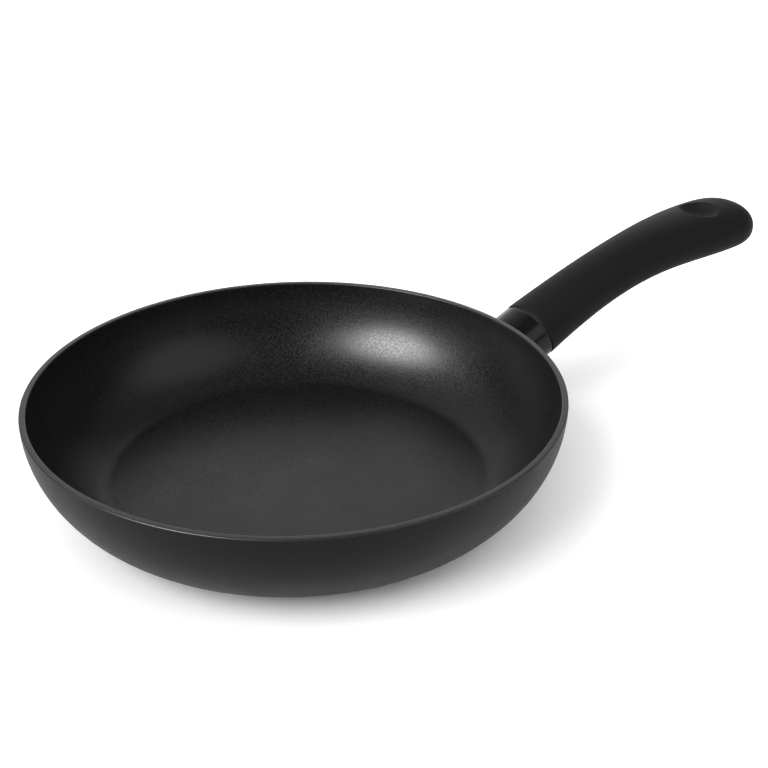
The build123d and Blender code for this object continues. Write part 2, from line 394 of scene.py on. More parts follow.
class Effects:
    """The node groups that the finishes share, each built once.

    Each range says where a noise value starts and stops to count in the mask made from it.
    """

    grain_range: Pair = (0.35, 0.65)
    ring_range: Pair = (0.3, 0.7)
    wear_range: Pair = (0.35, 0.7)
    smudge_range: Pair = (0.3, 0.7)
    coarse_share: float = 0.6  # of the grain's height
    finer_times: float = 2.7  # how much denser the fine grain is
    speck_size: float = 0.09  # as a share of a cell
    chosen_from: float = 0.9  # a cell whose random value is higher has a speck

    def __init__(self) -> None:
        """Builds every group."""
        self.grain = self.fine_grain()
        self.turning = self.turning_marks()
        self.wear = self.edge_wear()
        self.handling = self.handling_marks()

    def fine_grain(self) -> bpy.types.NodeTree:
        """Fine grain: a coarse and a fine noise added up, and the coarse one alone as a mask.

        Returns:
            The node group.
        """
        tree, given, out = new_effect("fine_grain", ["Density"], ["Height", "Mask"])
        coarse = tree.noise(given["Vector"], given["Density"], detail=2.0)
        finer = tree.math("MULTIPLY", given["Density"], self.finer_times)
        fine = tree.noise(given["Vector"], finer, detail=1.0)
        first = tree.math("MULTIPLY", coarse, self.coarse_share)
        second = tree.math("MULTIPLY", fine, 1.0 - self.coarse_share)
        tree.feed(out["Height"], tree.math("ADD", first, second))
        tree.feed(out["Mask"], tree.spread(coarse, *self.grain_range))
        return tree.tree

    def turning_marks(self) -> bpy.types.NodeTree:
        """Turning marks: noise read along the distance from Z alone, so that it runs in rings.

        Returns:
            The node group.
        """
        tree, given, out = new_effect("turning_marks", ["Density"], ["Height", "Mask"])
        flat = tree.vector("MULTIPLY", given["Vector"], (1.0, 1.0, 0.0)).outputs[0]
        radius = tree.vector("LENGTH", flat, (0.0, 0.0, 0.0)).outputs["Value"]
        sources = {"W": radius, "Scale": given["Density"], "Detail": 3.0}
        rings = tree.add("ShaderNodeTexNoise", sources, noise_dimensions="1D").outputs["Fac"]
        tree.feed(out["Height"], rings)
        tree.feed(out["Mask"], tree.spread(rings, *self.ring_range))
        return tree.tree

    def edge_wear(self) -> bpy.types.NodeTree:
        """Edge wear: the edge value, broken up by noise.

        Returns:
            The node group.
        """
        tree, given, out = new_effect("edge_wear", ["Edge", "Density"], ["Mask"])
        patches = tree.noise(given["Vector"], given["Density"], detail=4.0, roughness=0.6)
        worn = tree.math("MULTIPLY", given["Edge"], tree.spread(patches, *self.wear_range))
        tree.feed(out["Mask"], worn)
        return tree.tree

    def handling_marks(self) -> bpy.types.NodeTree:
        """Handling: broad smudges from noise, and a few specks of dust in cells chosen at random.

        Returns:
            The node group.
        """
        inputs = ["Smudge Density", "Speck Density"]
        tree, given, out = new_effect("handling_marks", inputs, ["Smudge", "Specks"])
        smudges = tree.noise(given["Vector"], given["Smudge Density"], detail=3.0, roughness=0.55)
        sources = {"Vector": given["Vector"], "Scale": given["Speck Density"]}
        cells = tree.add("ShaderNodeTexVoronoi", sources)
        near = tree.spread(cells.outputs["Distance"], 0.0, self.speck_size, 1.0, 0.0)
        parts = tree.add("ShaderNodeSeparateColor", {0: cells.outputs["Color"]})
        chosen = tree.math("GREATER_THAN", parts.outputs[0], self.chosen_from)
        tree.feed(out["Smudge"], tree.spread(smudges, *self.smudge_range))
        tree.feed(out["Specks"], tree.math("MULTIPLY", near, chosen))
        return tree.tree


@functools.cache
def shared_effects() -> Effects:
    """The shared node groups, built when the first finish asks for them."""
    return Effects()


class Marks(Enum):
    """Whether a finish shows the rings of a lathe."""

    NONE = "none"
    TURNED = "turned"


SMUDGE_DENSITY = 45.0
SPECK_DENSITY = 160.0
DUST_STRENGTH = 0.12
DUST_COLOUR = (0.16, 0.16, 0.16)


@dataclass(frozen=True)
class Finish:
    """One finish: a base colour that varies a little, a roughness that varies with it, and fine relief.

    A density is the number of swells or rings in a metre.
    """

    name: str
    colour: Colour
    worn_colour: Colour = (0.05, 0.05, 0.05)  # on worn edges
    roughness: Pair = (0.35, 0.45)  # the lowest and the highest
    specular: float = 0.5
    metallic: float = 0.0
    grain_density: float = 1800.0
    grain_height: float = 4e-6
    variation: float = 0.25  # how much lighter the colour is in the light parts of the grain
    smudge: float = 0.04  # how much broad smudges add to the roughness
    marks: Marks = Marks.NONE
    ring_density: float = 2500.0
    ring_height: float = 3e-6
    ring_roughness: float = 0.05  # how much the rings add to the roughness
    wear: float = 0.5  # how strongly the worn colour shows on edges

    def material(self) -> bpy.types.Material:
        """Builds the material.

        Returns:
            The material.
        """
        effects = shared_effects()
        made = bpy.data.materials.new(self.name)
        tree = fresh_tree(made)
        place = tree.add("ShaderNodeTexCoord").outputs["Object"]
        edge = tree.add("ShaderNodeAttribute", attribute_name=EDGE_ATTRIBUTE).outputs["Fac"]
        grain = tree.group(effects.grain, Vector=place, Density=self.grain_density)
        wear = tree.group(effects.wear, Vector=place, Edge=edge, Density=self.wear_density())
        handling = tree.group(
            effects.handling, Vector=place, Smudge_Density=SMUDGE_DENSITY, Speck_Density=SPECK_DENSITY
        )
        height = tree.math("MULTIPLY", grain.outputs["Height"], self.grain_height)
        low, high = self.roughness
        rough = tree.spread(grain.outputs["Mask"], 0.0, 1.0, low, high)
        rough = tree.math("ADD", rough, tree.math("MULTIPLY", handling.outputs["Smudge"], self.smudge))
        light = tuple(part * (1.0 + self.variation) for part in self.colour)
        dark = tuple(part * (1.0 - self.variation) for part in self.colour)
        colour = tree.blend(grain.outputs["Mask"], dark, light)
        if self.marks is Marks.TURNED:
            rings = tree.group(effects.turning, Vector=place, Density=self.ring_density)
            ring_height = tree.math("MULTIPLY", rings.outputs["Height"], self.ring_height)
            height = tree.math("ADD", height, ring_height)
            rough = tree.math("ADD", rough, tree.math("MULTIPLY", rings.outputs["Mask"], self.ring_roughness))
        worn = tree.math("MULTIPLY", wear.outputs["Mask"], self.wear)
        colour = tree.blend(worn, colour, self.worn_colour)
        dust = tree.math("MULTIPLY", handling.outputs["Specks"], DUST_STRENGTH)
        colour = tree.blend(dust, colour, DUST_COLOUR)
        bump = tree.add("ShaderNodeBump", {"Strength": 1.0, "Distance": 1.0, "Height": height})
        surface = {
            "Base Color": colour,
            "Roughness": rough,
            "Normal": bump.outputs["Normal"],
            "Specular IOR Level": self.specular,
            "Metallic": self.metallic,
        }
        shader = tree.add("ShaderNodeBsdfPrincipled", surface)
        tree.add("ShaderNodeOutputMaterial", {"Surface": shader.outputs[0]})
        return made

    def wear_density(self) -> float:
        """The swells in a metre of the noise that breaks up worn edges."""
        return self.grain_density / 4.0


NON_STICK = Finish(
    "non_stick_coating", (0.0062, 0.0064, 0.0062),
    roughness=(0.27, 0.37), specular=0.245, grain_density=1050.0, grain_height=4.4e-5,
    variation=0.35,
)
RIM_LACQUER = Finish(
    "machined_rim", (0.014, 0.014, 0.014),
    roughness=(0.26, 0.34), specular=0.24, grain_height=3e-6, marks=Marks.TURNED,
    ring_density=9000.0, wear=0.15,
)
SATIN_PAINT = Finish(
    "satin_black_paint", (0.0025, 0.0025, 0.0025),
    roughness=(0.37, 0.45), specular=0.18, grain_density=1300.0, grain_height=1.2e-5,
)
BARE_ALUMINIUM = Finish(
    "turned_aluminium", (0.62, 0.62, 0.63),
    roughness=(0.3, 0.38), metallic=1.0, grain_height=1e-6, variation=0.06, marks=Marks.TURNED,
)
TURNED_STEEL = Finish(
    "turned_steel", (0.52, 0.515, 0.505),
    roughness=(0.24, 0.3), metallic=1.0, grain_height=1e-6, variation=0.05, marks=Marks.TURNED,
    ring_density=4000.0, ring_height=4e-6,
)
CAST_ALUMINIUM = Finish(
    "cast_aluminium", (0.5, 0.5, 0.51),
    roughness=(0.45, 0.6), metallic=1.0, grain_density=900.0, grain_height=3e-5, variation=0.1,
)
GLOSS_BLACK = Finish(
    "gloss_black_metal", (0.006, 0.006, 0.0062),
    worn_colour=(0.03, 0.03, 0.03), roughness=(0.14, 0.19), specular=0.2, grain_height=1e-6,
)
SEAL_RUBBER = Finish(
    "seal_rubber", (0.009, 0.009, 0.009),
    roughness=(0.7, 0.85), specular=0.3, grain_height=8e-6,
)
SOFT_TOUCH = Finish(
    "soft_touch_grip", (0.003, 0.0031, 0.003),
    worn_colour=(0.02, 0.02, 0.02), roughness=(0.56, 0.64), specular=0.13, grain_density=1400.0,
    grain_height=1.2e-5, wear=0.3,
)
PLUG_RUBBER = Finish(
    "plug_rubber", (0.011, 0.011, 0.011),
    roughness=(0.6, 0.75), specular=0.35, grain_height=8e-6,
)
ZINC_STEEL = Finish(
    "zinc_plated_steel", (0.58, 0.58, 0.56),
    roughness=(0.25, 0.35), metallic=1.0, grain_density=1200.0, grain_height=2e-6, variation=0.08,
)


def dress(piece: bpy.types.Object, angle: float, *finishes: Finish) -> None:
    """Gives a new piece its materials, and breaks its shading at edges that turn by more than an angle.

    Args:
        piece: The object.
        angle: The angle, in degrees.
        finishes: The finishes, in the order of the piece's zones.
    """
    for finish in finishes:
        piece.data.materials.append(finish.material())
    piece.data.set_sharp_from_angle(angle=math.radians(angle))


# The pan's own pieces


class Zone(Enum):
    """The zones of the dish, in the order of its materials."""

    COATING = 0
    RIM = 1
    PAINT = 2
    BASE = 3


@dataclass
class PanBody:
    """The dish: a profile of arcs and lines turned about Z. The steps say how finely each is divided."""

    outer_radius: float = 0.120
    height: float = 0.051
    wall: float = 0.00295
    floor_thickness: float = 0.0068
    blend_radius: float = 0.015  # between the floor and the wall
    edge_radius: float = 0.0006  # of both rim edges
    lift: float = 0.0002  # how far the base ring is above the table
    disc_radius: float = 0.06215  # the steel disc's, with its gap
    disc_depth: float = 0.0007  # of the disc's recess, from the table
    columns: int = 512
    recess_steps: int = 6
    narrow_steps: int = 3
    outer_steps: int = 60
    inner_steps: int = 48
    edge_steps: int = 8
    floor_steps: int = 12

    def curve_radius(self) -> float:
        """The radius of the wall's outer curve in the profile."""
        return self.height - self.lift

    def curve_centre(self) -> Pair:
        """The centre of the wall's curves in the profile."""
        return self.outer_radius - self.curve_radius(), self.height

    def profile(self) -> list[tuple[np.ndarray, Zone]]:
        """The profile from the middle of the underside, round the rim, to the middle of the floor.

        Each round corner is an arc that touches both of its neighbours: its centre is as far from the
        wall's centre as the two radii say, and its height is its own radius from the flat face.

        Returns:
            The stretches of the profile, each with the zone that it belongs to.
        """
        centre = self.curve_centre()
        outer = self.curve_radius()
        inner = outer - self.wall
        round_height = self.height - self.edge_radius
        outer_reach = outer - self.edge_radius
        inner_reach = inner + self.edge_radius
        outer_turn = math.degrees(math.asin(self.edge_radius / outer_reach))
        inner_turn = math.degrees(math.asin(self.edge_radius / inner_reach))
        outer_round = (centre[0] + math.sqrt(outer_reach**2 - self.edge_radius**2), round_height)
        inner_round = (centre[0] + math.sqrt(inner_reach**2 - self.edge_radius**2), round_height)
        floor = self.lift + self.floor_thickness
        blend_height = floor + self.blend_radius
        blend_reach = inner - self.blend_radius
        blend_turn = math.degrees(math.asin((self.height - blend_height) / blend_reach))
        blend_x = centre[0] + math.sqrt(blend_reach**2 - (self.height - blend_height) ** 2)
        pole = MILLIMETRE
        recess = (self.disc_radius, self.disc_depth)
        mouth = (self.disc_radius, self.lift)
        rim_top = ((outer_round[0], self.height), (inner_round[0], self.height))
        blend = (blend_x, blend_height)
        return [
            (straight((pole, self.disc_depth), recess, self.recess_steps), Zone.BASE),
            (straight(recess, mouth, 1), Zone.BASE),
            (straight(mouth, (centre[0], self.lift), self.narrow_steps), Zone.BASE),
            (arc(centre, outer, -90.0, -outer_turn, self.outer_steps), Zone.PAINT),
            (arc(outer_round, self.edge_radius, -outer_turn, 90.0, self.edge_steps), Zone.RIM),
            (straight(*rim_top, self.narrow_steps), Zone.RIM),
            (arc(inner_round, self.edge_radius, 90.0, 180.0 - inner_turn, self.edge_steps), Zone.RIM),
            (arc(centre, inner, -inner_turn, -blend_turn, self.inner_steps), Zone.COATING),
            (arc(blend, self.blend_radius, -blend_turn, -90.0, self.floor_steps), Zone.COATING),
            (straight((blend_x, floor), (pole, floor), self.floor_steps), Zone.COATING),
        ]

    def surface(self) -> GridSurface:
        """The profile turned about Z, with the rounded rim edges as its worn edges.

        Returns:
            The surface, with its zones.
        """
        stretches = self.profile()
        points = [stretches[0][0][:1]]
        zones: list[int] = []
        edge = [np.zeros(1)]
        for stretch, zone in stretches:
            points.append(stretch[1:])
            zones += [zone.value] * (len(stretch) - 1)
            round_part = zone is Zone.RIM and len(stretch) > self.edge_steps
            swell = np.sin(np.linspace(0.0, math.pi, len(stretch)))[1:]
            edge.append(swell if round_part else np.zeros(len(stretch) - 1))
        rows = turned(np.concatenate(points), self.columns)
        return GridSurface(rows, edge=np.concatenate(edge), zones=np.array(zones + zones[-1:]))

    def build(self) -> bpy.types.Object:
        """Builds the dish and gives each zone its finish.

        Returns:
            The dish.
        """
        piece = self.surface().build("dish")
        dress(piece, 40.0, *(ZONE_FINISHES[zone] for zone in Zone))
        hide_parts("pan_body")
        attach(piece, BODY)
        return piece


ZONE_FINISHES = {
    Zone.COATING: NON_STICK,
    Zone.RIM: RIM_LACQUER,
    Zone.PAINT: SATIN_PAINT,
    Zone.BASE: BARE_ALUMINIUM,
}


@dataclass
class BaseStuds:
    """The small round studs of aluminium that fill the steel disc's holes."""

    radius: float = 0.0020
    bottom: float = 0.00015
    top: float = 0.0007  # the height of the recess that they stand in
    rings: int = 5
    first_ring: int = 6  # how many studs the first ring has; the others have multiples of it
    outer_ring_radius: float = 0.050
    bevel: float = 0.00012  # round the lower face
    sides: int = 24

    def centres(self) -> np.ndarray:
        """The studs' centres: rings whose number of studs grows with their radius.

        Returns:
            An array of rows of X and Y.
        """
        ring = np.concatenate([np.full(self.first_ring * n, n) for n in range(1, self.rings + 1)])
        turn = np.concatenate([np.arange(self.first_ring * n) for n in range(1, self.rings + 1)])
        angle = 2.0 * math.pi * turn / (self.first_ring * ring)
        radius = self.outer_ring_radius * ring / self.rings
        return np.stack([radius * np.cos(angle), radius * np.sin(angle)], axis=1)

    def build(self) -> bpy.types.Object:
        """Builds every stud in one mesh: one small profile turned about Z, and repeated at each centre.

        Returns:
            The studs.
        """
        side = (self.radius, self.bottom + self.bevel)
        outline = np.array([(self.radius, self.top), side, (self.radius - self.bevel, self.bottom)])
        points, quads, triangles, _ = GridSurface(turned(outline, self.sides)).faces()
        centres = np.pad(self.centres(), ((0, 0), (0, 1)))
        corners = (centres[:, None, :] + points).reshape(-1, 3)
        first = len(points) * np.arange(len(centres))[:, None, None]
        walls = (first + quads).reshape(-1, 4)
        lids = (first + triangles).reshape(-1, 3)
        piece = solid_of("base_studs", corners, walls, lids)
        dress(piece, 30.0, BARE_ALUMINIUM)
        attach(piece, BODY)
        return piece


def heading(slope: float) -> np.ndarray:
    """The unit direction, as X and Z, that rises at a slope in degrees."""
    return np.array([math.cos(math.radians(slope)), math.sin(math.radians(slope))])


def turned_up(directions: np.ndarray) -> np.ndarray:
    """Directions, as X and Z, turned a quarter turn so that they point up from their line."""
    return directions[..., ::-1] * np.array([-1.0, 1.0])


def beside(middle: np.ndarray, up: np.ndarray, across: np.ndarray, upward: np.ndarray) -> np.ndarray:
    """Points round a line in the XZ plane: the middle, plus across along Y and upward along the unit up."""
    flat = middle + upward[..., None] * up
    return np.stack([flat[..., 0], across, flat[..., 1]], axis=-1)


def bezier(poles: np.ndarray, shares: np.ndarray) -> np.ndarray:
    """A Bezier curve: each pole times its Bernstein weight at each share of the way.

    Args:
        poles: The poles, as rows.
        shares: The shares of the way, from 0 to 1.

    Returns:
        An array with a row for each share.
    """
    degree = len(poles) - 1
    rest = 1.0 - shares
    weights = [math.comb(degree, n) * rest ** (degree - n) * shares**n for n in range(degree + 1)]
    return np.stack(weights, axis=1) @ poles


@dataclass
class HandleLine:
    """The line that the handle follows: a cubic Bezier curve in the plane through Z and the handle."""

    start: Pair = (0.1405, 0.0397)  # where the grip starts, as X and Z
    end: Pair = (0.2942, 0.0670)
    start_slope: float = 22.6
    end_slope: float = 3.5
    start_pull: float = 0.0813  # from the start to the second pole
    end_pull: float = 0.0524  # from the third pole to the end

    def poles(self) -> np.ndarray:
        """The four poles of the curve.

        Returns:
            An array of four rows of X and Z.
        """
        first = np.array(self.start)
        last = np.array(self.end)
        second = first + heading(self.start_slope) * self.start_pull
        third = last - heading(self.end_slope) * self.end_pull
        return np.stack([first, second, third, last])

    def points(self, shares: np.ndarray) -> np.ndarray:
        """The curve's points, as rows of X and Z, at shares of the way from 0 to 1."""
        return bezier(self.poles(), shares)

    def directions(self, shares: np.ndarray) -> np.ndarray:
        """The curve's unit directions, from the curve through the differences of its poles."""
        slopes = bezier(np.diff(self.poles(), axis=0), shares)
        return slopes / np.linalg.norm(slopes, axis=1, keepdims=True)

    def lengths(self, fine: int = 4000) -> tuple[np.ndarray, np.ndarray]:
        """How long the curve is up to each of many shares.

        Args:
            fine: How many stretches are added up.

        Returns:
            The shares and the lengths.
        """
        shares = np.linspace(0.0, 1.0, fine + 1)
        steps = np.linalg.norm(np.diff(self.points(shares), axis=0), axis=1)
        return shares, np.concatenate([[0.0], np.cumsum(steps)])

    def place(self, distance: np.ndarray, across: np.ndarray, upward: np.ndarray | float) -> np.ndarray:
        """Points beside the straight line on which the handle starts.

        Args:
            distance: The distance along it from the front of the grip.
            across: The place across it.
            upward: The place up from it.

        Returns:
            An array whose last axis holds X, Y and Z.
        """
        distance, across, upward = np.broadcast_arrays(distance, across, upward)
        along = heading(self.start_slope)
        middle = np.array(self.start) + distance[..., None] * along
        return beside(middle, turned_up(along), across, upward)


@dataclass
class FlameGuard:
    """The oval metal sleeve between the wall and the grip."""

    line: HandleLine
    half_width: float = 0.01625
    half_height: float = 0.0136
    power: float = 2.15  # of its superellipse
    wall: float = 0.001
    end_gap: float = 0.0008  # between its outer end and the grip
    edge_radius: float = 0.0003  # of its outer end
    wall_radius: float = 0.0509  # of the pan's outer curve, with a small gap
    wall_centre: Pair = (0.0692, 0.051)  # of that curve, in the pan's profile
    search: float = 0.05  # how far back from the grip the wall is looked for
    halvings: int = 40  # of that search
    columns: int = 256
    wall_rows: int = 13
    round_rows: int = 6

    def distance_to_wall(self, across: np.ndarray, upward: np.ndarray) -> np.ndarray:
        """Where straight lines along the handle meet the pan's wall, found by halving an interval.

        A point is inside the wall's curve if its distance from the ring through the curve's centre is
        less than the curve's radius.

        Args:
            across: The lines' places across the handle.
            upward: Their places up from its axis.

        Returns:
            The distances from the front of the grip, which are negative.
        """
        low = np.full(across.shape, -self.search)
        high = np.zeros(across.shape)
        for _ in range(self.halvings):
            middle = (low + high) / 2.0
            place = self.line.place(middle, across, upward)
            radius = np.hypot(place[..., 0], place[..., 1])
            away = np.hypot(radius - self.wall_centre[0], place[..., 2] - self.wall_centre[1])
            inside = away < self.wall_radius
            low = np.where(inside, middle, low)
            high = np.where(inside, high, middle)
        return high

    def surface(self) -> GridSurface:
        """The sleeve: an outer and an inner oval wall, each from the pan's wall to the outer end.

        Returns:
            The closed surface.
        """
        across, upward = superellipse(around(self.columns), self.power)
        end = -self.end_gap
        rounding = np.radians(np.linspace(0.0, 90.0, self.round_rows))
        round_steps = end - self.edge_radius + self.edge_radius * np.sin(rounding)
        round_insets = self.edge_radius * (1.0 - np.cos(rounding))
        flat = np.zeros(self.wall_rows)
        insets = np.concatenate([flat, round_insets, flat + self.wall])
        outer = self.rows_from_wall(across, upward, 0.0, end - self.edge_radius)
        inner = self.rows_from_wall(across, upward, self.wall, end)
        middle = np.repeat(round_steps[:, None], self.columns, axis=1)
        distances = np.concatenate([outer, middle, inner[::-1]])
        widths = (self.half_width - insets)[:, None] * across
        heights = (self.half_height - insets)[:, None] * upward
        edge = np.concatenate([flat, np.sin(np.linspace(0.0, math.pi, self.round_rows)), flat])
        return GridSurface(self.line.place(distances, widths, heights), closed=True, edge=edge)

    def rows_from_wall(self, across: np.ndarray, upward: np.ndarray, inset: float, end: float) -> np.ndarray:
        """Evenly spread distances from the pan's wall to an end, for each column.

        Args:
            across: The unit superellipse's places across.
            upward: Its places upward.
            inset: How far inside the outer surface this wall is.
            end: The last distance.

        Returns:
            An array with one column for each place.
        """
        wall = self.distance_to_wall((self.half_width - inset) * across, (self.half_height - inset) * upward)
        shares = np.linspace(0.0, 1.0, self.wall_rows)[:, None]
        return wall[None, :] * (1.0 - shares) + end * shares

    def build(self) -> bpy.types.Object:
        """Builds and dresses the sleeve.

        Returns:
            The sleeve.
        """
        piece = self.surface().build("sleeve")
        dress(piece, 40.0, GLOSS_BLACK)
        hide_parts("flame_guard")
        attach(piece, BODY)
        return piece


@dataclass
class Grip:
    """The grip: oval sections along the handle line, with a thumb dish and a screw pocket."""

    line: HandleLine
    station_shares: tuple[float, ...] = (0.0, 0.25, 0.5, 0.75, 1.0)  # of the line, where sizes are given
    heights: tuple[float, ...] = (0.0277, 0.0240, 0.0238, 0.0242, 0.0212)
    widths: tuple[float, ...] = (0.0330, 0.0314, 0.0368, 0.0442, 0.0400)
    power: float = 2.15  # of the oval sections
    end_power: float = 2.2  # of the curve that closes the tail
    side_closing: float = 1.0  # the tail's closing length for the width, as a share of the half width
    top_closing: float = 1.3  # the same for the height
    front_radius: float = 0.0005  # of the front edge
    dish_setback: float = 0.0360  # from the tail to the dish's middle, as run over the grip's reach
    dish_length: float = 0.0200
    dish_depth: float = 0.0040
    dish_cross_radius: float = 0.0225  # of its curve across the grip
    lip_width: float = 0.0005  # how near the dish and the top are where the lip's rounding starts
    spigot_half_width: float = 0.0151  # the spigot is inside the sleeve
    spigot_half_height: float = 0.01245
    spigot_length: float = 0.0048
    socket_half_width: float = 0.00915  # the socket holds the lug
    socket_half_height: float = 0.00415
    socket_power: float = 9.0  # nearly a rectangle
    socket_depth: float = 0.035
    end_share: float = 0.3  # the size of the small ring in the socket's end, as a share of the socket
    screw_setback: float = 0.018  # behind the front
    pocket_radius: float = 0.0056
    pocket_bottom: float = -0.03  # well below the grip, from the handle's axis
    pocket_top: float = -0.00635  # the seat of the screw's washers, from the axis
    shank_radius: float = 0.00275  # of the hole for the screw's shank
    dish_reach: float = 0.053  # from the tail to where the rows get closer for the dish
    tail_length: float = 0.020
    front_rows: int = 6
    body_count: int = 96
    dish_rows: int = 84
    tail_rows: int = 52
    hole_sides: int = 96
    columns: int = 264
    crowding: float = 0.35  # how much closer the columns are on top

    def through_stations(self, values: tuple[float, ...], shares: np.ndarray) -> np.ndarray:
        """The lowest polynomial through one value at each station: each value times its Lagrange weight.

        Args:
            values: The values at the stations.
            shares: Where it is read.

        Returns:
            The values at the shares.
        """
        stations = np.array(self.station_shares)
        total = np.zeros_like(shares)
        for station, value in zip(stations, values):
            others = stations[stations != station]
            weights = (shares[:, None] - others) / (station - others)
            total += weights.prod(axis=1) * value
        return total

    def closing(self, to_tail: np.ndarray, length: np.ndarray) -> np.ndarray:
        """What is left of a section near the tail: a quarter superellipse over the closing length."""
        gone = 1.0 - np.minimum(1.0, to_tail / length)
        return (1.0 - gone**self.end_power) ** (1.0 / self.end_power)

    def row_distances(self, total: float) -> np.ndarray:
        """How far along the line each row is: close together at the front edge, the dish and the tail.

        Args:
            total: The line's length.

        Returns:
            The distances from the front.
        """
        front_turn = np.radians(np.linspace(0.0, 90.0, self.front_rows))
        front = self.front_radius * (1.0 - np.cos(front_turn))
        dish_start = total - self.dish_reach
        body = np.linspace(self.front_radius, dish_start, self.body_count)[1:]
        dish = np.linspace(dish_start, total - self.tail_length, self.dish_rows)[1:]
        turn = np.radians(np.linspace(0.0, 90.0, self.tail_rows))
        tail = total - self.tail_length * (1.0 - np.sin(turn))
        return np.concatenate([front, body, dish, tail[1:-1]])

    def body_rows(self) -> tuple[np.ndarray, np.ndarray]:
        """The outer rows of the grip, with the dish sunk in, and how much each lies on a worn edge.

        Returns:
            The rows and their edge values.
        """
        fine_shares, fine_lengths = self.line.lengths()
        total = float(fine_lengths[-1])
        distances = self.row_distances(total)
        shares = np.interp(distances, fine_lengths, fine_shares)
        half_width = self.through_stations(self.widths, shares) / 2.0
        half_height = self.through_stations(self.heights, shares) / 2.0
        half_width = half_width * self.closing(total - distances, half_width * self.side_closing)
        half_height = half_height * self.closing(total - distances, half_height * self.top_closing)
        before_edge = np.maximum(self.front_radius - distances, 0.0)
        inset = self.front_radius - np.sqrt(self.front_radius**2 - before_edge**2)
        across, upward = self.unit_section(self.power)
        rows = beside(
            self.line.points(shares)[:, None],
            turned_up(self.line.directions(shares))[:, None],
            (half_width - inset)[:, None] * across,
            (half_height - inset)[:, None] * upward,
        )
        edge = np.clip(1.0 - distances / (2.0 * self.front_radius), 0.0, 1.0)
        return self.sink_dish(rows), edge

    def unit_section(self, power: float) -> tuple[np.ndarray, np.ndarray]:
        """The unit superellipse, with its columns closer together on top, where the dish is."""
        even = around(self.columns)
        return superellipse(even + self.crowding * np.cos(even), power)

    def sink_dish(self, rows: np.ndarray) -> np.ndarray:
        """Lowers the top to the surface of a ring where that is lower, with the lip rounded.

        The ring lies round an axis along the grip, high above the dish. Its outer radius at a place along
        the axis is the cross radius, less how far an arc along the grip has risen there. Heights are
        measured from the plane that touches the top in the middle of the dish.

        Args:
            rows: The rows before the dish is sunk.

        Returns:
            The rows with the dish.
        """
        share = np.array([1.0 - self.dish_setback / (self.line.end[0] - self.line.start[0])])
        direction = self.line.directions(share)
        up = turned_up(direction)[0]
        along = direction[0]
        top = self.line.points(share)[0] + up * self.through_stations(self.heights, share)[0] / 2.0
        half = self.dish_length / 2.0
        radius = (half**2 + self.dish_depth**2) / (2.0 * self.dish_depth)
        from_top = rows[..., [0, 2]] - top
        height = from_top @ up
        lengthwise = from_top @ along
        arc_height = np.sqrt(np.maximum(radius**2 - lengthwise**2, 0.0))
        reach = self.dish_cross_radius - radius + arc_height
        dish = self.dish_cross_radius - self.dish_depth
        dish = dish - np.sqrt(np.maximum(reach**2 - rows[..., 1] ** 2, 0.0))
        lowered = smooth_minimum(height, dish, self.lip_width) - height
        sunk = rows.copy()
        sunk[..., 0] += lowered * up[0]
        sunk[..., 2] += lowered * up[1]
        return sunk

    def hidden_rows(self) -> np.ndarray:
        """The rows inside the front: the shoulder, the spigot and the socket, down to the socket's end.

        Returns:
            The rows, from the socket's end to the shoulder.
        """
        across, upward = self.unit_section(self.socket_power)
        socket = (self.socket_half_width * across, self.socket_half_height * upward)
        small = (self.end_share * socket[0], self.end_share * socket[1])
        across, upward = self.unit_section(self.power)
        spigot = (self.spigot_half_width * across, self.spigot_half_height * upward)
        front = -self.spigot_length
        inside = [(self.socket_depth, small), (self.socket_depth, socket), (0.0, socket), (front, socket)]
        stations = inside + [(front, spigot), (0.0, spigot)]
        return np.stack([self.line.place(distance, *section) for distance, section in stations])

    def cylinder(self, name: str, radius: float, low: float, high: float) -> bpy.types.Object:
        """A closed cylinder on the screw's axis, between two heights from the handle's axis.

        Args:
            name: The object's name.
            radius: Its radius.
            low: Its lower end.
            high: Its upper end.

        Returns:
            The cylinder.
        """
        turn = around(self.hole_sides)
        distance = self.screw_setback + radius * np.cos(turn)
        rows = [self.line.place(distance, radius * np.sin(turn), height) for height in (low, high)]
        return GridSurface(np.stack(rows)).build(name)

    def build(self) -> bpy.types.Object:
        """Builds the grip, cuts the screw's pocket and hole, and dresses it.

        Returns:
            The grip.
        """
        body, edge = self.body_rows()
        hidden = self.hidden_rows()
        rows = np.concatenate([hidden, body])
        piece = GridSurface(rows, edge=np.concatenate([np.zeros(len(hidden)), edge])).build("grip_shell")
        pocket = self.cylinder("pocket", self.pocket_radius, self.pocket_bottom, self.pocket_top)
        hole = self.cylinder("hole", self.shank_radius, self.pocket_top - MILLIMETRE, 0.0)
        cut_away(piece, [pocket, hole])
        piece.data.materials.clear()
        dress(piece, 45.0, SOFT_TOUCH)
        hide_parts("grip")
        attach(piece, BODY)
        return piece


@dataclass
class Hardware:
    """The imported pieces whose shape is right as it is: disc, lug, seal, screw, washers and plug."""

    finishes: tuple[tuple[str, Finish], ...] = (
        ("base_disc", TURNED_STEEL),
        ("handle_lug", CAST_ALUMINIUM),
        ("guard_seal", SEAL_RUBBER),
        ("grip_screw", ZINC_STEEL),
        ("flat_washer", ZINC_STEEL),
        ("spring_washer", ZINC_STEEL),
        ("screw_plug", PLUG_RUBBER),
    )

    def dress(self) -> None:
        """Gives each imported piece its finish."""
        made: dict[str, bpy.types.Material] = {}
        for node, finish in self.finishes:
            if finish.name not in made:
                made[finish.name] = finish.material()
            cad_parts[node].material_slots[0].material = made[finish.name]
            log.info("dressed %s with %s", node, finish.name)


# Studio


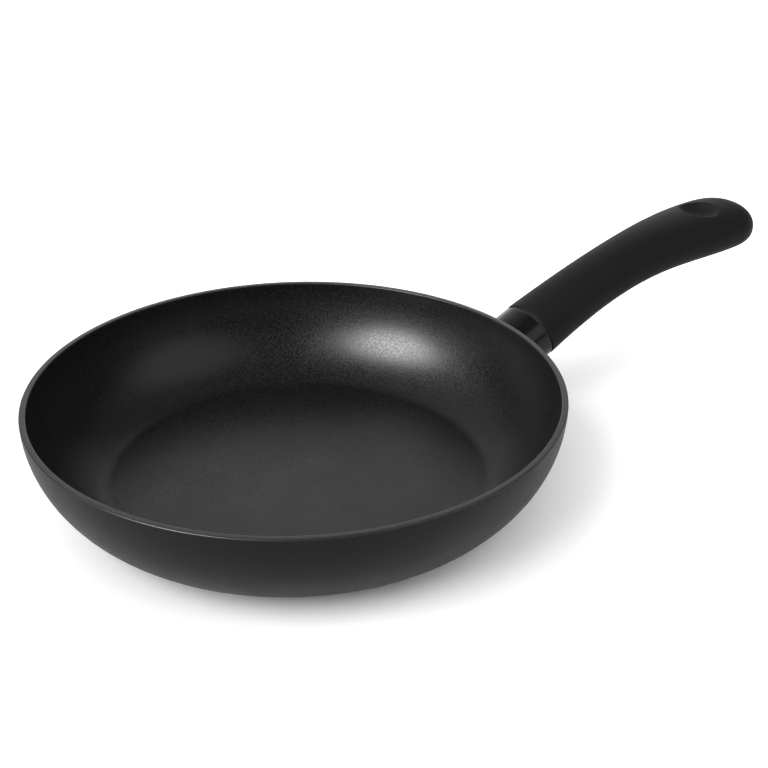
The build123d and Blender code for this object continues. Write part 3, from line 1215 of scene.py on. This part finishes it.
def direction_of(azimuth: float, elevation: float) -> Vector:
    """The unit direction towards a light.

    Args:
        azimuth: Degrees from X towards Y.
        elevation: Degrees above the floor.

    Returns:
        The direction.
    """
    turn = math.radians(azimuth)
    rise = math.radians(elevation)
    return Vector((math.cos(turn) * math.cos(rise), math.sin(turn) * math.cos(rise), math.sin(rise)))


class Reach(Enum):
    """Which kinds of surface a lamp lights, as the names of the ray switches that it turns off."""

    EVERYTHING = ()
    SHINE_ONLY = ("visible_diffuse",)
    MATT_ONLY = ("visible_glossy",)


@dataclass(frozen=True)
class SoftLight:
    """A broad distant light. Its angles are in degrees, as in direction_of."""

    name: str
    azimuth: float
    elevation: float
    width: float  # how wide it looks from the pan, in degrees
    strength: float  # on a face that is square to it
    reach: Reach = Reach.EVERYTHING

    def build(self) -> None:
        """Adds the lamp."""
        lamp = bpy.data.lights.new(self.name, "SUN")
        lamp.energy = self.strength
        lamp.angle = math.radians(self.width)
        holder = placed(self.name, lamp)
        holder.rotation_mode = "QUATERNION"
        holder.rotation_quaternion = direction_of(self.azimuth, self.elevation).to_track_quat("Z", "Y")
        for switch in self.reach.value:
            setattr(holder, switch, False)


@dataclass(frozen=True)
class Glow:
    """A soft round patch of the studio's walls."""

    azimuth: float
    elevation: float
    reach: float  # how far from its middle it fades out, in degrees
    strength: float  # how bright its middle is


@dataclass
class Studio:
    """The floor, the room's soft light and the lamps."""

    floor_half_size: float = 12.0
    floor_colour: Colour = (0.8, 0.8, 0.8)  # with which it lights the pan
    seen_floor_colour: Colour = (1.1, 1.1, 1.1)  # seen directly, where it clips to white
    mirrored_floor_colour: Colour = (0.85, 0.85, 0.85)  # in reflections and through glass
    horizon: float = 1.38  # how bright the room is at the horizon
    zenith: float = 0.0  # and overhead
    horizon_top: float = 0.25  # the sine of the elevation where the horizon's light has faded
    lamps: tuple[SoftLight, ...] = (
        SoftLight("main_light", 182.0, 39.0, 40.0, 2.1),
        SoftLight("main_core", 182.0, 39.0, 30.0, 6.8, Reach.SHINE_ONLY),
        SoftLight("side_light", -59.0, 40.0, 48.0, 0.78),
        SoftLight("top_light", 0.0, 90.0, 130.0, 1.2, Reach.MATT_ONLY),
        SoftLight("front_light", 228.0, 42.0, 60.0, 0.8, Reach.MATT_ONLY),
    )
    glows: tuple[Glow, ...] = (
        Glow(58.0, 15.0, 45.0, 1.74),
        Glow(176.0, 0.0, 45.0, 1.45),
        Glow(-7.0, 50.0, 35.0, 0.39),
        Glow(113.0, 50.0, 35.0, 0.83),
    )

    def build_floor(self) -> None:
        """Adds a plain pale floor that keeps the pan's shadow."""
        side = self.floor_half_size
        mesh = bpy.data.meshes.new("floor")
        corners = [(-side, -side, 0.0), (side, -side, 0.0), (side, side, 0.0), (-side, side, 0.0)]
        mesh.from_pydata(corners, [], [(0, 1, 2, 3)])
        floor = placed("floor", mesh)
        material = bpy.data.materials.new("pale_floor")
        tree = fresh_tree(material)
        path = tree.add("ShaderNodeLightPath").outputs
        mirrored = tree.math("MAXIMUM", path["Is Glossy Ray"], path["Is Transmission Ray"])
        colour = tree.blend(mirrored, self.floor_colour, self.mirrored_floor_colour)
        colour = tree.blend(path["Is Camera Ray"], colour, self.seen_floor_colour)
        paper = tree.add("ShaderNodeBsdfDiffuse", {"Color": colour})
        tree.add("ShaderNodeOutputMaterial", {"Surface": paper.outputs[0]})
        mesh.materials.append(material)

    def build_room(self) -> None:
        """Lights the room: pale at the horizon, dim overhead, with the glows added."""
        world = bpy.data.worlds.new("room")
        tree = fresh_tree(world)
        place = tree.add("ShaderNodeTexCoord").outputs["Generated"]
        parts = tree.add("ShaderNodeSeparateXYZ", {0: place})
        light = tree.spread(parts.outputs["Z"], 0.0, self.horizon_top, self.horizon, self.zenith)
        for glow in self.glows:
            towards = tuple(direction_of(glow.azimuth, glow.elevation))
            nearness = tree.vector("DOT_PRODUCT", place, towards).outputs["Value"]
            patch = tree.spread(nearness, math.cos(math.radians(glow.reach)), 1.0, 0.0, glow.strength)
            light = tree.math("ADD", light, patch)
        background = tree.add("ShaderNodeBackground", {"Strength": light})
        tree.add("ShaderNodeOutputWorld", {"Surface": background.outputs[0]})
        bpy.context.scene.world = world

    def build(self) -> None:
        """Builds the floor, the room and the lamps."""
        self.build_floor()
        self.build_room()
        for lamp in self.lamps:
            lamp.build()
        bpy.context.scene.view_settings.view_transform = "Standard"


@dataclass
class Viewpoint:
    """The camera, where it stands in the photograph."""

    place: tuple[float, float, float] = (-0.28815, -0.44708, 0.32869)
    tilt: float = 62.522  # up from looking straight down
    turn: float = -37.0  # about Z
    lens_mm: float = 63.28
    sensor_mm: float = 36.0

    def build(self) -> None:
        """Adds the camera and makes it the scene's own."""
        camera = bpy.data.cameras.new("camera")
        camera.lens = self.lens_mm
        camera.sensor_width = self.sensor_mm
        holder = placed("camera", camera)
        holder.location = self.place
        holder.rotation_euler = (math.radians(self.tilt), 0.0, math.radians(self.turn))
        bpy.context.scene.camera = holder


def main() -> None:
    """Builds the camera, the pieces and the studio."""
    Viewpoint().build()
    line = HandleLine()
    for part in (PanBody(), BaseStuds(), FlameGuard(line), Grip(line)):
        piece = part.build()
        log.info("built %s with %d faces", piece.name, len(piece.data.polygons))
    Hardware().dress()
    Studio().build()


if __name__ == "__main__":
    main()
